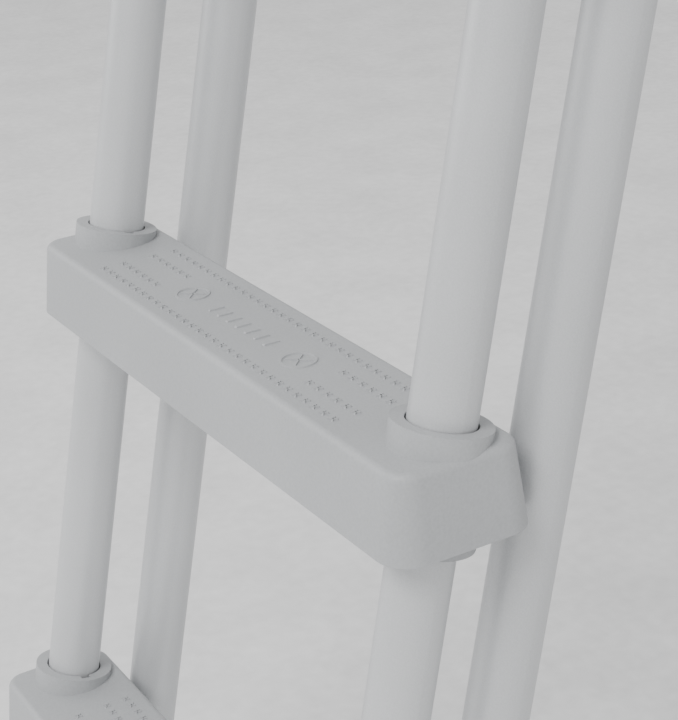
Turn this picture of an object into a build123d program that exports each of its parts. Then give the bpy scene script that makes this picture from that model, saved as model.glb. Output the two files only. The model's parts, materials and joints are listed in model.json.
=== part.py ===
"""Above-ground pool ladder: an A-frame with handrails and a platform, and a lift-off outer step unit.

+X runs along the steps, -Y faces the outside of the pool, +Z is up, and the floor is z = 0.
"""
import os
from math import cos, radians, sin, tan

from build123d import *

os.makedirs("parts", exist_ok=True)

# Driving dimensions, in millimetres and degrees
lean = 12.5  # every upright's angle from vertical
tube_r = 16.0
tube_wall = 1.2
spacing = 346.0  # between left and right upright axes
rise = 282.0  # height from one tread to the next
platform_z = 4 * rise
platform_half = 250.0  # leg axis to centre plane, at platform height
unit_gap = 60.6  # outer leg axis to side tube axis, along Y
centre_y = unit_gap / 2  # keeps the origin under the middle of the box
rail_z = 1700.0
rail_bend_r = 110.0
joint_z = 1000.0  # where the handrails meet the legs
foot_gap = 6.0

# Tread
tread_len, tread_front, tread_back = 394.0, -38.0, 29.0
tread_height, tread_draft, tread_wall = 42.0, 5.0, 3.0
collar_r, collar_up, collar_down = 23.8, 8.0, 6.0
bore_r, lip_bore_r, lip_depth = 16.06, 17.0, 6.0
notch_width, notch_depth = 6.0, 3.0

# Hanger bar, crossbar and lock knobs
bar_z = 1000.0
tube_end = bar_z - 8  # the side tubes stop inside the hanger bar
bar_r = 12.0
hook_x, hook_width, arm_height = 95.0, 30.0, 20.0
hanger_low, hanger_height, hanger_depth = bar_r + 0.3, 52.0, 46.0
knob_x, knob_r = 40.0, 15.0

slope = tan(radians(lean))
half = spacing / 2
SIDES = {"left": -1, "right": 1}


def leg_y(z):
    """Outer leg axis at height z, from centre_y; the inner leg's has its sign changed."""
    return -(platform_half + (platform_z - z) * slope)


def upright(x, z, way, offset=0.0):
    """Plane on an upright's axis, with its normal up the tube. way is 1 outside, -1 on the pool side."""
    normal = (0, way * sin(radians(lean)), cos(radians(lean)))
    return Plane(origin=(x, way * (leg_y(z) - offset) + centre_y, z), x_dir=(1, 0, 0), z_dir=normal)


def length_up(z0, z1):
    return (z1 - z0) / cos(radians(lean))


def straight_tube(name, x, z0, z1, way, offset=0.0):
    with BuildPart() as tube:
        with BuildSketch(upright(x, z0, way, offset)):
            Circle(tube_r)
            Circle(tube_r - tube_wall, mode=Mode.SUBTRACT)
        extrude(amount=length_up(z0, z1))
    save(tube.part, name)


def save(shape, name):
    shape.label = name
    export_step(shape, f"parts/{name}.step")


def tread(name, z, way, offset=0.0):
    """A hollow tapered step with a raised collar and a lower boss at each upright."""
    y = way * (leg_y(z) - offset) + centre_y
    depth = tread_back - tread_front
    middle = y + way * (tread_back + tread_front) / 2
    top_plane = Plane.XY.offset(z)
    shell_size = (tread_len + 2 * tread_draft, depth + 2 * tread_draft)
    axes = [upright(side * half, z, way, offset) for side in SIDES.values()]
    with BuildPart() as step:
        with BuildSketch(Plane.XY.offset(z - tread_height)):
            with Locations((0, middle)):
                RectangleRounded(*shell_size, 16)
        with BuildSketch(top_plane):
            with Locations((0, middle)):
                RectangleRounded(tread_len, depth, 12)
        loft()
        top_edges = step.faces().sort_by(Axis.Z)[-1].edges()
        fillet(top_edges, 4)
        with BuildSketch(Plane.XY.offset(z - tread_height)):
            with Locations((0, middle)):
                RectangleRounded(shell_size[0] - 2 * tread_wall, shell_size[1] - 2 * tread_wall, 13)
        with BuildSketch(Plane.XY.offset(z - tread_wall)):
            with Locations((0, middle)):
                RectangleRounded(tread_len - 2 * tread_wall, depth - 2 * tread_wall, 9)
        loft(mode=Mode.SUBTRACT)
        for plane in axes:
            with BuildSketch(plane.offset(-length_up(0, tread_height) - collar_down)):
                Circle(collar_r)
            extrude(amount=length_up(0, tread_height) + collar_down + collar_up)
            with BuildSketch(plane.offset(-2 * tread_height)):
                Circle(bore_r)
            extrude(amount=4 * tread_height, mode=Mode.SUBTRACT)
            inward = -1 if plane.origin.X > 0 else 1
            with BuildSketch(plane.offset(collar_up - lip_depth)):
                Circle(lip_bore_r)
                with Locations((inward * lip_bore_r, 0)):
                    Rectangle(2 * notch_depth, notch_width)
            extrude(amount=lip_depth + 1, mode=Mode.SUBTRACT)
    save(step.part, name)


def foot(name, ways_offsets):
    """Rubber feet: cups round the tube ends, cut flat at the floor."""
    with BuildPart() as feet:
        for way, offset in ways_offsets:
            for side in SIDES.values():
                with BuildSketch(upright(side * half, 0, way, offset).offset(-20)):
                    Circle(tube_r + 4)
                extrude(amount=64)
        with Locations((0, 0, -50)):
            Box(4 * spacing, 4000, 100, mode=Mode.SUBTRACT)
        for way, offset in ways_offsets:
            for side in SIDES.values():
                with BuildSketch(upright(side * half, foot_gap, way, offset)):
                    Circle(tube_r + 0.02)
                extrude(amount=100, mode=Mode.SUBTRACT)
    save(feet.part, name)


# Handrail hoops and legs
for side_name, side in SIDES.items():
    low, corner = leg_y(joint_z), leg_y(rail_z)
    with BuildPart() as rail:
        with BuildLine(Plane.YZ.offset(side * half)) as path:
            points = [(low, joint_z), (corner, rail_z), (-corner, rail_z), (-low, joint_z)]
            FilletPolyline(*[(y + centre_y, z) for y, z in points], radius=rail_bend_r)
        with BuildSketch(upright(side * half, joint_z, 1)):
            Circle(tube_r)
            Circle(tube_r - tube_wall, mode=Mode.SUBTRACT)
        sweep(path=path.wires()[0])
    save(rail.part, f"handrail_{side_name}")
    straight_tube(f"outer_leg_{side_name}", side * half, foot_gap, joint_z - 0.1, 1)
    straight_tube(f"inner_leg_{side_name}", side * half, foot_gap, joint_z - 0.1, -1)
    straight_tube(f"side_tube_{side_name}", side * half, foot_gap, tube_end, 1, unit_gap)

# Sleeves inside the tubes where handrails meet legs
with BuildPart() as sleeves:
    for way in (1, -1):
        for side in SIDES.values():
            with BuildSketch(upright(side * half, joint_z - 45, way)):
                Circle(tube_r - tube_wall - 0.02)
                Circle(tube_r - 2 * tube_wall - 0.5, mode=Mode.SUBTRACT)
            extrude(amount=90)
save(sleeves.part, "leg_connectors")

# Screws beside each joint, in the outer faces of the tubes
with BuildPart() as screws:
    for way in (1, -1):
        for side in SIDES.values():
            for height in (-25, 25):
                middle = upright(side * half, joint_z + height, way).origin
                seat = Plane(origin=middle, z_dir=(side, 0, 0)).offset(tube_r - tube_wall - 1.5)
                with BuildSketch(seat):
                    Circle(2)
                extrude(amount=4)
                with BuildSketch(seat.offset(3)):
                    Circle(4)
                extrude(amount=2.4)
save(screws.part, "connector_screws")

# Platform: a hollow tapered deck with the four uprights through it
platform_len, platform_depth, platform_height = spacing + 100, 2 * platform_half + 90, 55.0
deck_bottom = Plane((0, centre_y, platform_z - platform_height))
with BuildPart() as platform:
    with BuildSketch(deck_bottom):
        RectangleRounded(platform_len + 12, platform_depth + 12, 30)
    with BuildSketch(Plane((0, centre_y, platform_z))):
        RectangleRounded(platform_len, platform_depth, 26)
    loft()
    fillet(platform.faces().sort_by(Axis.Z)[-1].edges(), 5)
    with BuildSketch(deck_bottom):
        RectangleRounded(platform_len + 4, platform_depth + 4, 26)
    extrude(amount=platform_height - 4, taper=5, mode=Mode.SUBTRACT)
    with BuildSketch(deck_bottom):
        for x in (-100, 0, 100):
            with Locations((x, 0)):
                Rectangle(4, platform_depth - 20)
    extrude(amount=platform_height - 3)
    corners = [upright(side * half, platform_z, way) for side in SIDES.values() for way in (1, -1)]
    for plane in corners:
        with BuildSketch(plane.offset(-platform_height - collar_down)):
            Circle(collar_r)
        extrude(amount=platform_height + collar_down + collar_up)
        with BuildSketch(plane.offset(-2 * platform_height)):
            Circle(bore_r)
        extrude(amount=4 * platform_height, mode=Mode.SUBTRACT)
save(platform.part, "platform")

# Treads: the lift-off unit outside, the fixed ones on the pool side
for number in (1, 2, 3):
    tread(f"outer_step_{number}", number * rise, 1, unit_gap)
    tread(f"inner_step_{number}", number * rise, -1)

foot("leg_feet", [(1, 0), (-1, 0)])
foot("side_tube_feet", [(1, unit_gap)])

# Crossbar between the outer legs, held by a clamp on each leg
clamp_r = tube_r + 5
bar_y = leg_y(bar_z - 70) + centre_y
bar_plane = upright(0, bar_z - 70, 1)
with BuildPart() as crossbar:
    with BuildSketch(Plane(origin=bar_plane.origin, x_dir=(0, 1, 0), z_dir=(1, 0, 0))):
        Circle(bar_r)
        Circle(bar_r - 1.5, mode=Mode.SUBTRACT)
    extrude(amount=half - clamp_r - 1, both=True)
save(crossbar.part, "crossbar")
for side_name, side in SIDES.items():
    with BuildPart() as clamp:
        with BuildSketch(upright(side * half, bar_z - 70, 1)):
            Circle(clamp_r)
        extrude(amount=18, both=True)
        with BuildSketch(Plane(origin=(side * half, bar_y, bar_z - 70), x_dir=(0, 1, 0), z_dir=(-side, 0, 0))):
            Circle(bar_r - 1.52)
        extrude(amount=clamp_r + 25)
        with BuildSketch(upright(side * half, bar_z - 70, 1)):
            Circle(bore_r)
        extrude(amount=40, both=True, mode=Mode.SUBTRACT)
    save(clamp.part, f"crossbar_clamp_{side_name}")

# Hanger bar: caps the side tubes, with two hooks over the crossbar
hang = upright(0, bar_z - 70, 1)  # origin on the crossbar axis, y_dir across the unit, z_dir up the tubes
across = unit_gap * cos(radians(lean))
up_shift = -unit_gap * sin(radians(lean))
front = -across
with BuildPart() as hanger:
    with BuildSketch(hang.offset(hanger_low)):
        with Locations((0, front)):
            RectangleRounded(spacing + 52, hanger_depth, 14)
    extrude(amount=hanger_height)
    fillet(hanger.faces().sort_by(Axis.Z)[-1].edges(), 4)
    for x in (-hook_x, hook_x):
        with BuildSketch(hang.offset(hanger_low)):
            with Locations((x, (front + 22) / 2)):
                Rectangle(hook_width, 22 - front)
        extrude(amount=arm_height)
        with BuildSketch(hang.offset(-16)):
            with Locations((x, 18)):
                Rectangle(hook_width, 8)
        extrude(amount=30)
    for side in SIDES.values():
        with BuildSketch(hang):
            with Locations((side * half, front)):
                Circle(tube_r + 0.02)
        extrude(amount=length_up(bar_z - 70, tube_end) + up_shift + 0.1, mode=Mode.SUBTRACT)
save(hanger.part, "hanger_bar")

# Quarter-turn lock knobs on the front of the hanger bar
knob_seat = Plane(
    origin=hang.from_local_coords(Vector(0, front - hanger_depth / 2, hanger_low + hanger_height / 2)), x_dir=(1, 0, 0), z_dir=-hang.y_dir
)
for side_name, side in SIDES.items():
    with BuildPart() as knob:
        with BuildSketch(knob_seat.offset(0.5)):
            with Locations((side * knob_x, 0)):
                Circle(knob_r)
        extrude(amount=6)
        with BuildSketch(knob_seat.offset(6)):
            with Locations((side * knob_x, 0)):
                Rectangle(24, 7)
        extrude(amount=8)
    save(knob.part, f"lock_knob_{side_name}")
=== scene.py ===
"""Looks, floor, light and camera for the pool ladder."""

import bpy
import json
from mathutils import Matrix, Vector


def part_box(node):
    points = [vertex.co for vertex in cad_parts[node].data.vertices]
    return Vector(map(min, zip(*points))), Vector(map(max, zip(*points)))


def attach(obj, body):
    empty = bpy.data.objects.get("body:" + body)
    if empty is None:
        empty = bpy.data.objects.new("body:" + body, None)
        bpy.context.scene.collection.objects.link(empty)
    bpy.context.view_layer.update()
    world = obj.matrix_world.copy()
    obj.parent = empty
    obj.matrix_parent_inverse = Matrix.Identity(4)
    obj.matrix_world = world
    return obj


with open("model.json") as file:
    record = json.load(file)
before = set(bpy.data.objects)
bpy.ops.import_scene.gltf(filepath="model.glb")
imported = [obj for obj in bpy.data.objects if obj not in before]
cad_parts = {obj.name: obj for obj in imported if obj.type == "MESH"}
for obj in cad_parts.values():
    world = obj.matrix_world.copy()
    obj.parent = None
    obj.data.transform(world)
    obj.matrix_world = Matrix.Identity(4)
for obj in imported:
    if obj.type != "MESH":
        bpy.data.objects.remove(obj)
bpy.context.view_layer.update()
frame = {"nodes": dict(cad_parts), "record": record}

import json
import math

import bpy
from mathutils import Matrix, Vector

TUBE_LEAN = math.radians(12.5)
ROW_OFFSETS = (-0.0275, -0.0155, 0.0035, 0.0165)  # from the tube axis, along Y
ROW_HALF = 0.130
MARK_PITCH = 0.0085
MARK_ARM = 0.0028
MARK_HIGH = 0.0007
EMBLEM_X = 0.058
EMBLEM_R = 0.0145


def material(name, color, rough, bump, grain, metallic=0.0):
    mat = bpy.data.materials.new(name)
    mat.use_nodes = True
    nodes, links = mat.node_tree.nodes, mat.node_tree.links
    shader = nodes["Principled BSDF"]
    shader.inputs["Metallic"].default_value = metallic
    place = nodes.new("ShaderNodeTexCoord")
    fine = nodes.new("ShaderNodeTexNoise")
    fine.inputs["Scale"].default_value = grain
    fine.inputs["Detail"].default_value = 3.0
    broad = nodes.new("ShaderNodeTexNoise")
    broad.inputs["Scale"].default_value = 9.0
    tint = nodes.new("ShaderNodeValToRGB")
    tint.color_ramp.elements[0].position = 0.3
    tint.color_ramp.elements[0].color = [c * 0.9 for c in color] + [1]
    tint.color_ramp.elements[1].position = 0.7
    tint.color_ramp.elements[1].color = [min(1, c * 1.08) for c in color] + [1]
    shine = nodes.new("ShaderNodeMapRange")
    shine.inputs["To Min"].default_value = rough - 0.07
    shine.inputs["To Max"].default_value = rough + 0.07
    relief = nodes.new("ShaderNodeBump")
    relief.inputs["Strength"].default_value = bump
    relief.inputs["Distance"].default_value = 0.0004
    mix = nodes.new("ShaderNodeMath")
    mix.operation = "MULTIPLY_ADD"
    mix.inputs[1].default_value = 0.5
    for noise in (fine, broad):
        links.new(place.outputs["Object"], noise.inputs["Vector"])
    links.new(fine.outputs["Fac"], mix.inputs[0])
    half = nodes.new("ShaderNodeMath")
    half.operation = "MULTIPLY"
    half.inputs[1].default_value = 0.5
    links.new(broad.outputs["Fac"], half.inputs[0])
    links.new(half.outputs[0], mix.inputs[2])
    links.new(mix.outputs[0], tint.inputs["Fac"])
    links.new(tint.outputs["Color"], shader.inputs["Base Color"])
    links.new(broad.outputs["Fac"], shine.inputs["Value"])
    links.new(shine.outputs["Result"], shader.inputs["Roughness"])
    links.new(fine.outputs["Fac"], relief.inputs["Height"])
    links.new(relief.outputs["Normal"], shader.inputs["Normal"])
    return mat


paint = material("tube_paint_look", (0.60, 0.61, 0.62), 0.38, 0.25, 1400, 0.25)
plastic = material("step_plastic_look", (0.42, 0.43, 0.44), 0.48, 0.15, 700)
rubber = material("foot_rubber_look", (0.06, 0.06, 0.065), 0.8, 0.4, 400)
steel = material("screw_steel_look", (0.55, 0.55, 0.55), 0.35, 0.1, 900, 1.0)
LOOKS = {"tube_paint": paint, "step_plastic": plastic, "foot_rubber": rubber, "screw_steel": steel}

for part in frame["record"]["subparts"]:
    mesh_slots = frame["nodes"][part["node"]].material_slots
    for mesh_slot in mesh_slots:
        mesh_slot.material = LOOKS[part["material_slot"]]


def bar(verts, faces, centre, angle, half_len, half_wide, low, high):
    """A small raised bar, added to a mesh's lists."""
    start = len(verts)
    along = Vector((math.cos(angle), math.sin(angle), 0)) * half_len
    side = Vector((-math.sin(angle), math.cos(angle), 0)) * half_wide
    for z, k in ((low, 1.0), (high, 0.8)):
        for a, s in ((-1, -1), (1, -1), (1, 1), (-1, 1)):
            p = Vector((centre[0], centre[1], z)) + along * a * k + side * s * k
            verts.append(tuple(p))
    faces.append([start + 4, start + 5, start + 6, start + 7])
    for i in range(4):
        j = (i + 1) % 4
        faces.append([start + i, start + j, start + 4 + j, start + 4 + i])


def ring(verts, faces, centre, radius, low, high):
    count = 48
    start = len(verts)
    wide = 0.0008
    for i in range(count):
        c, s = math.cos(2 * math.pi * i / count), math.sin(2 * math.pi * i / count)
        for r, z in ((radius - wide, low), (radius - wide * 0.6, high), (radius + wide * 0.6, high), (radius + wide, low)):
            verts.append((centre[0] + r * c, centre[1] + r * s, z))
    for i in range(count):
        a, b = start + 4 * i, start + 4 * ((i + 1) % count)
        for k in range(3):
            faces.append([a + k, b + k, b + k + 1, a + k + 1])


def tread_marks(name, node, body):
    """Rows of raised crosses, two plain emblems and a row of bars on a tread."""
    low_corner, high_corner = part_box(node)
    way = 1 if node.startswith("outer") else -1
    lift = 0.008 * math.cos(TUBE_LEAN) + 0.0238 * math.sin(TUBE_LEAN)  # collar above the tread's top
    top = high_corner[2] - lift
    middle = (low_corner[1] + high_corner[1]) / 2
    axis_y = middle + way * 0.0045
    low, high = top - 0.0003, top + MARK_HIGH
    verts, faces = [], []
    count = int(ROW_HALF / MARK_PITCH)
    for row, offset in enumerate(ROW_OFFSETS):
        for i in range(-count, count + 1):
            x = i * MARK_PITCH
            if row in (1, 2) and abs(x) < EMBLEM_X + EMBLEM_R + 0.006:
                continue
            for angle in (math.pi / 4, -math.pi / 4):
                bar(verts, faces, (x, axis_y + way * offset), angle, MARK_ARM, 0.0005, low, high)
    emblem_y = axis_y - way * 0.006
    for x in (-EMBLEM_X, EMBLEM_X):
        ring(verts, faces, (x, emblem_y), EMBLEM_R * 0.62, low, high)
        for angle in (math.pi / 4, -math.pi / 4):
            bar(verts, faces, (x, emblem_y), angle, EMBLEM_R * 0.55, 0.0005, low, high)
    for i in range(-3, 4):
        bar(verts, faces, (i * 0.010, emblem_y), math.pi / 2, 0.005, 0.0012, low, high)
    mesh = bpy.data.meshes.new(name)
    mesh.from_pydata(verts, [], faces)
    mesh.update()
    marks = bpy.data.objects.new(name, mesh)
    bpy.context.scene.collection.objects.link(marks)
    mesh.materials.append(plastic)
    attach(marks, body)


for number in (1, 2, 3):
    tread_marks(f"outer_marks_{number}", f"outer_step_{number}", "step_unit")
    tread_marks(f"inner_marks_{number}", f"inner_step_{number}", "frame")

# Floor
bpy.ops.mesh.primitive_plane_add(size=60, location=(0, 0, 0))
floor = bpy.context.object
floor.name = "floor"
floor.data.materials.append(material("floor_look", (0.86, 0.86, 0.86), 0.9, 0.02, 60))

# Light
world = bpy.data.worlds.new("studio")
world.use_nodes = True
world.node_tree.nodes["Background"].inputs["Color"].default_value = (1, 1, 1, 1)
world.node_tree.nodes["Background"].inputs["Strength"].default_value = 0.85
bpy.context.scene.world = world


def area_light(name, place, target, power, wide):
    data = bpy.data.lights.new(name, "AREA")
    data.energy = power
    data.size = wide
    lamp = bpy.data.objects.new(name, data)
    lamp.location = place
    lamp.rotation_euler = (Vector(target) - Vector(place)).to_track_quat("-Z", "Y").to_euler()
    bpy.context.scene.collection.objects.link(lamp)


area_light("key", (1.2, -2.6, 3.2), (0, 0, 0.6), 90, 1.4)
area_light("fill", (-2.5, -2.0, 1.8), (0, 0, 0.6), 30, 2.0)

# Camera: a close view of the outer unit's middle step, from the right and above
step_low, step_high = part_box("outer_step_2")
aim = Vector((0, (step_low[1] + step_high[1]) / 2 + 0.0045, 0.564))
forward = Vector((-0.81018, 0.43862, -0.38888)).normalized()
right = Vector((0.4986, 0.8644, -0.0641))
right = (right - forward * right.dot(forward)).normalized()
up = right.cross(forward)
camera_data = bpy.data.cameras.new("camera")
camera_data.lens = 90.87
camera_data.sensor_width = 36
camera_data.shift_x = 0.0429
camera_data.shift_y = -0.005
camera_data.clip_start = 0.01
camera = bpy.data.objects.new("camera", camera_data)
camera.matrix_world = Matrix.Translation(aim + Vector((0.782214, -0.392651, 0.348342))) @ Matrix(
    (right, up, -forward)
).transposed().to_4x4()
bpy.context.scene.collection.objects.link(camera)
bpy.context.scene.camera = camera
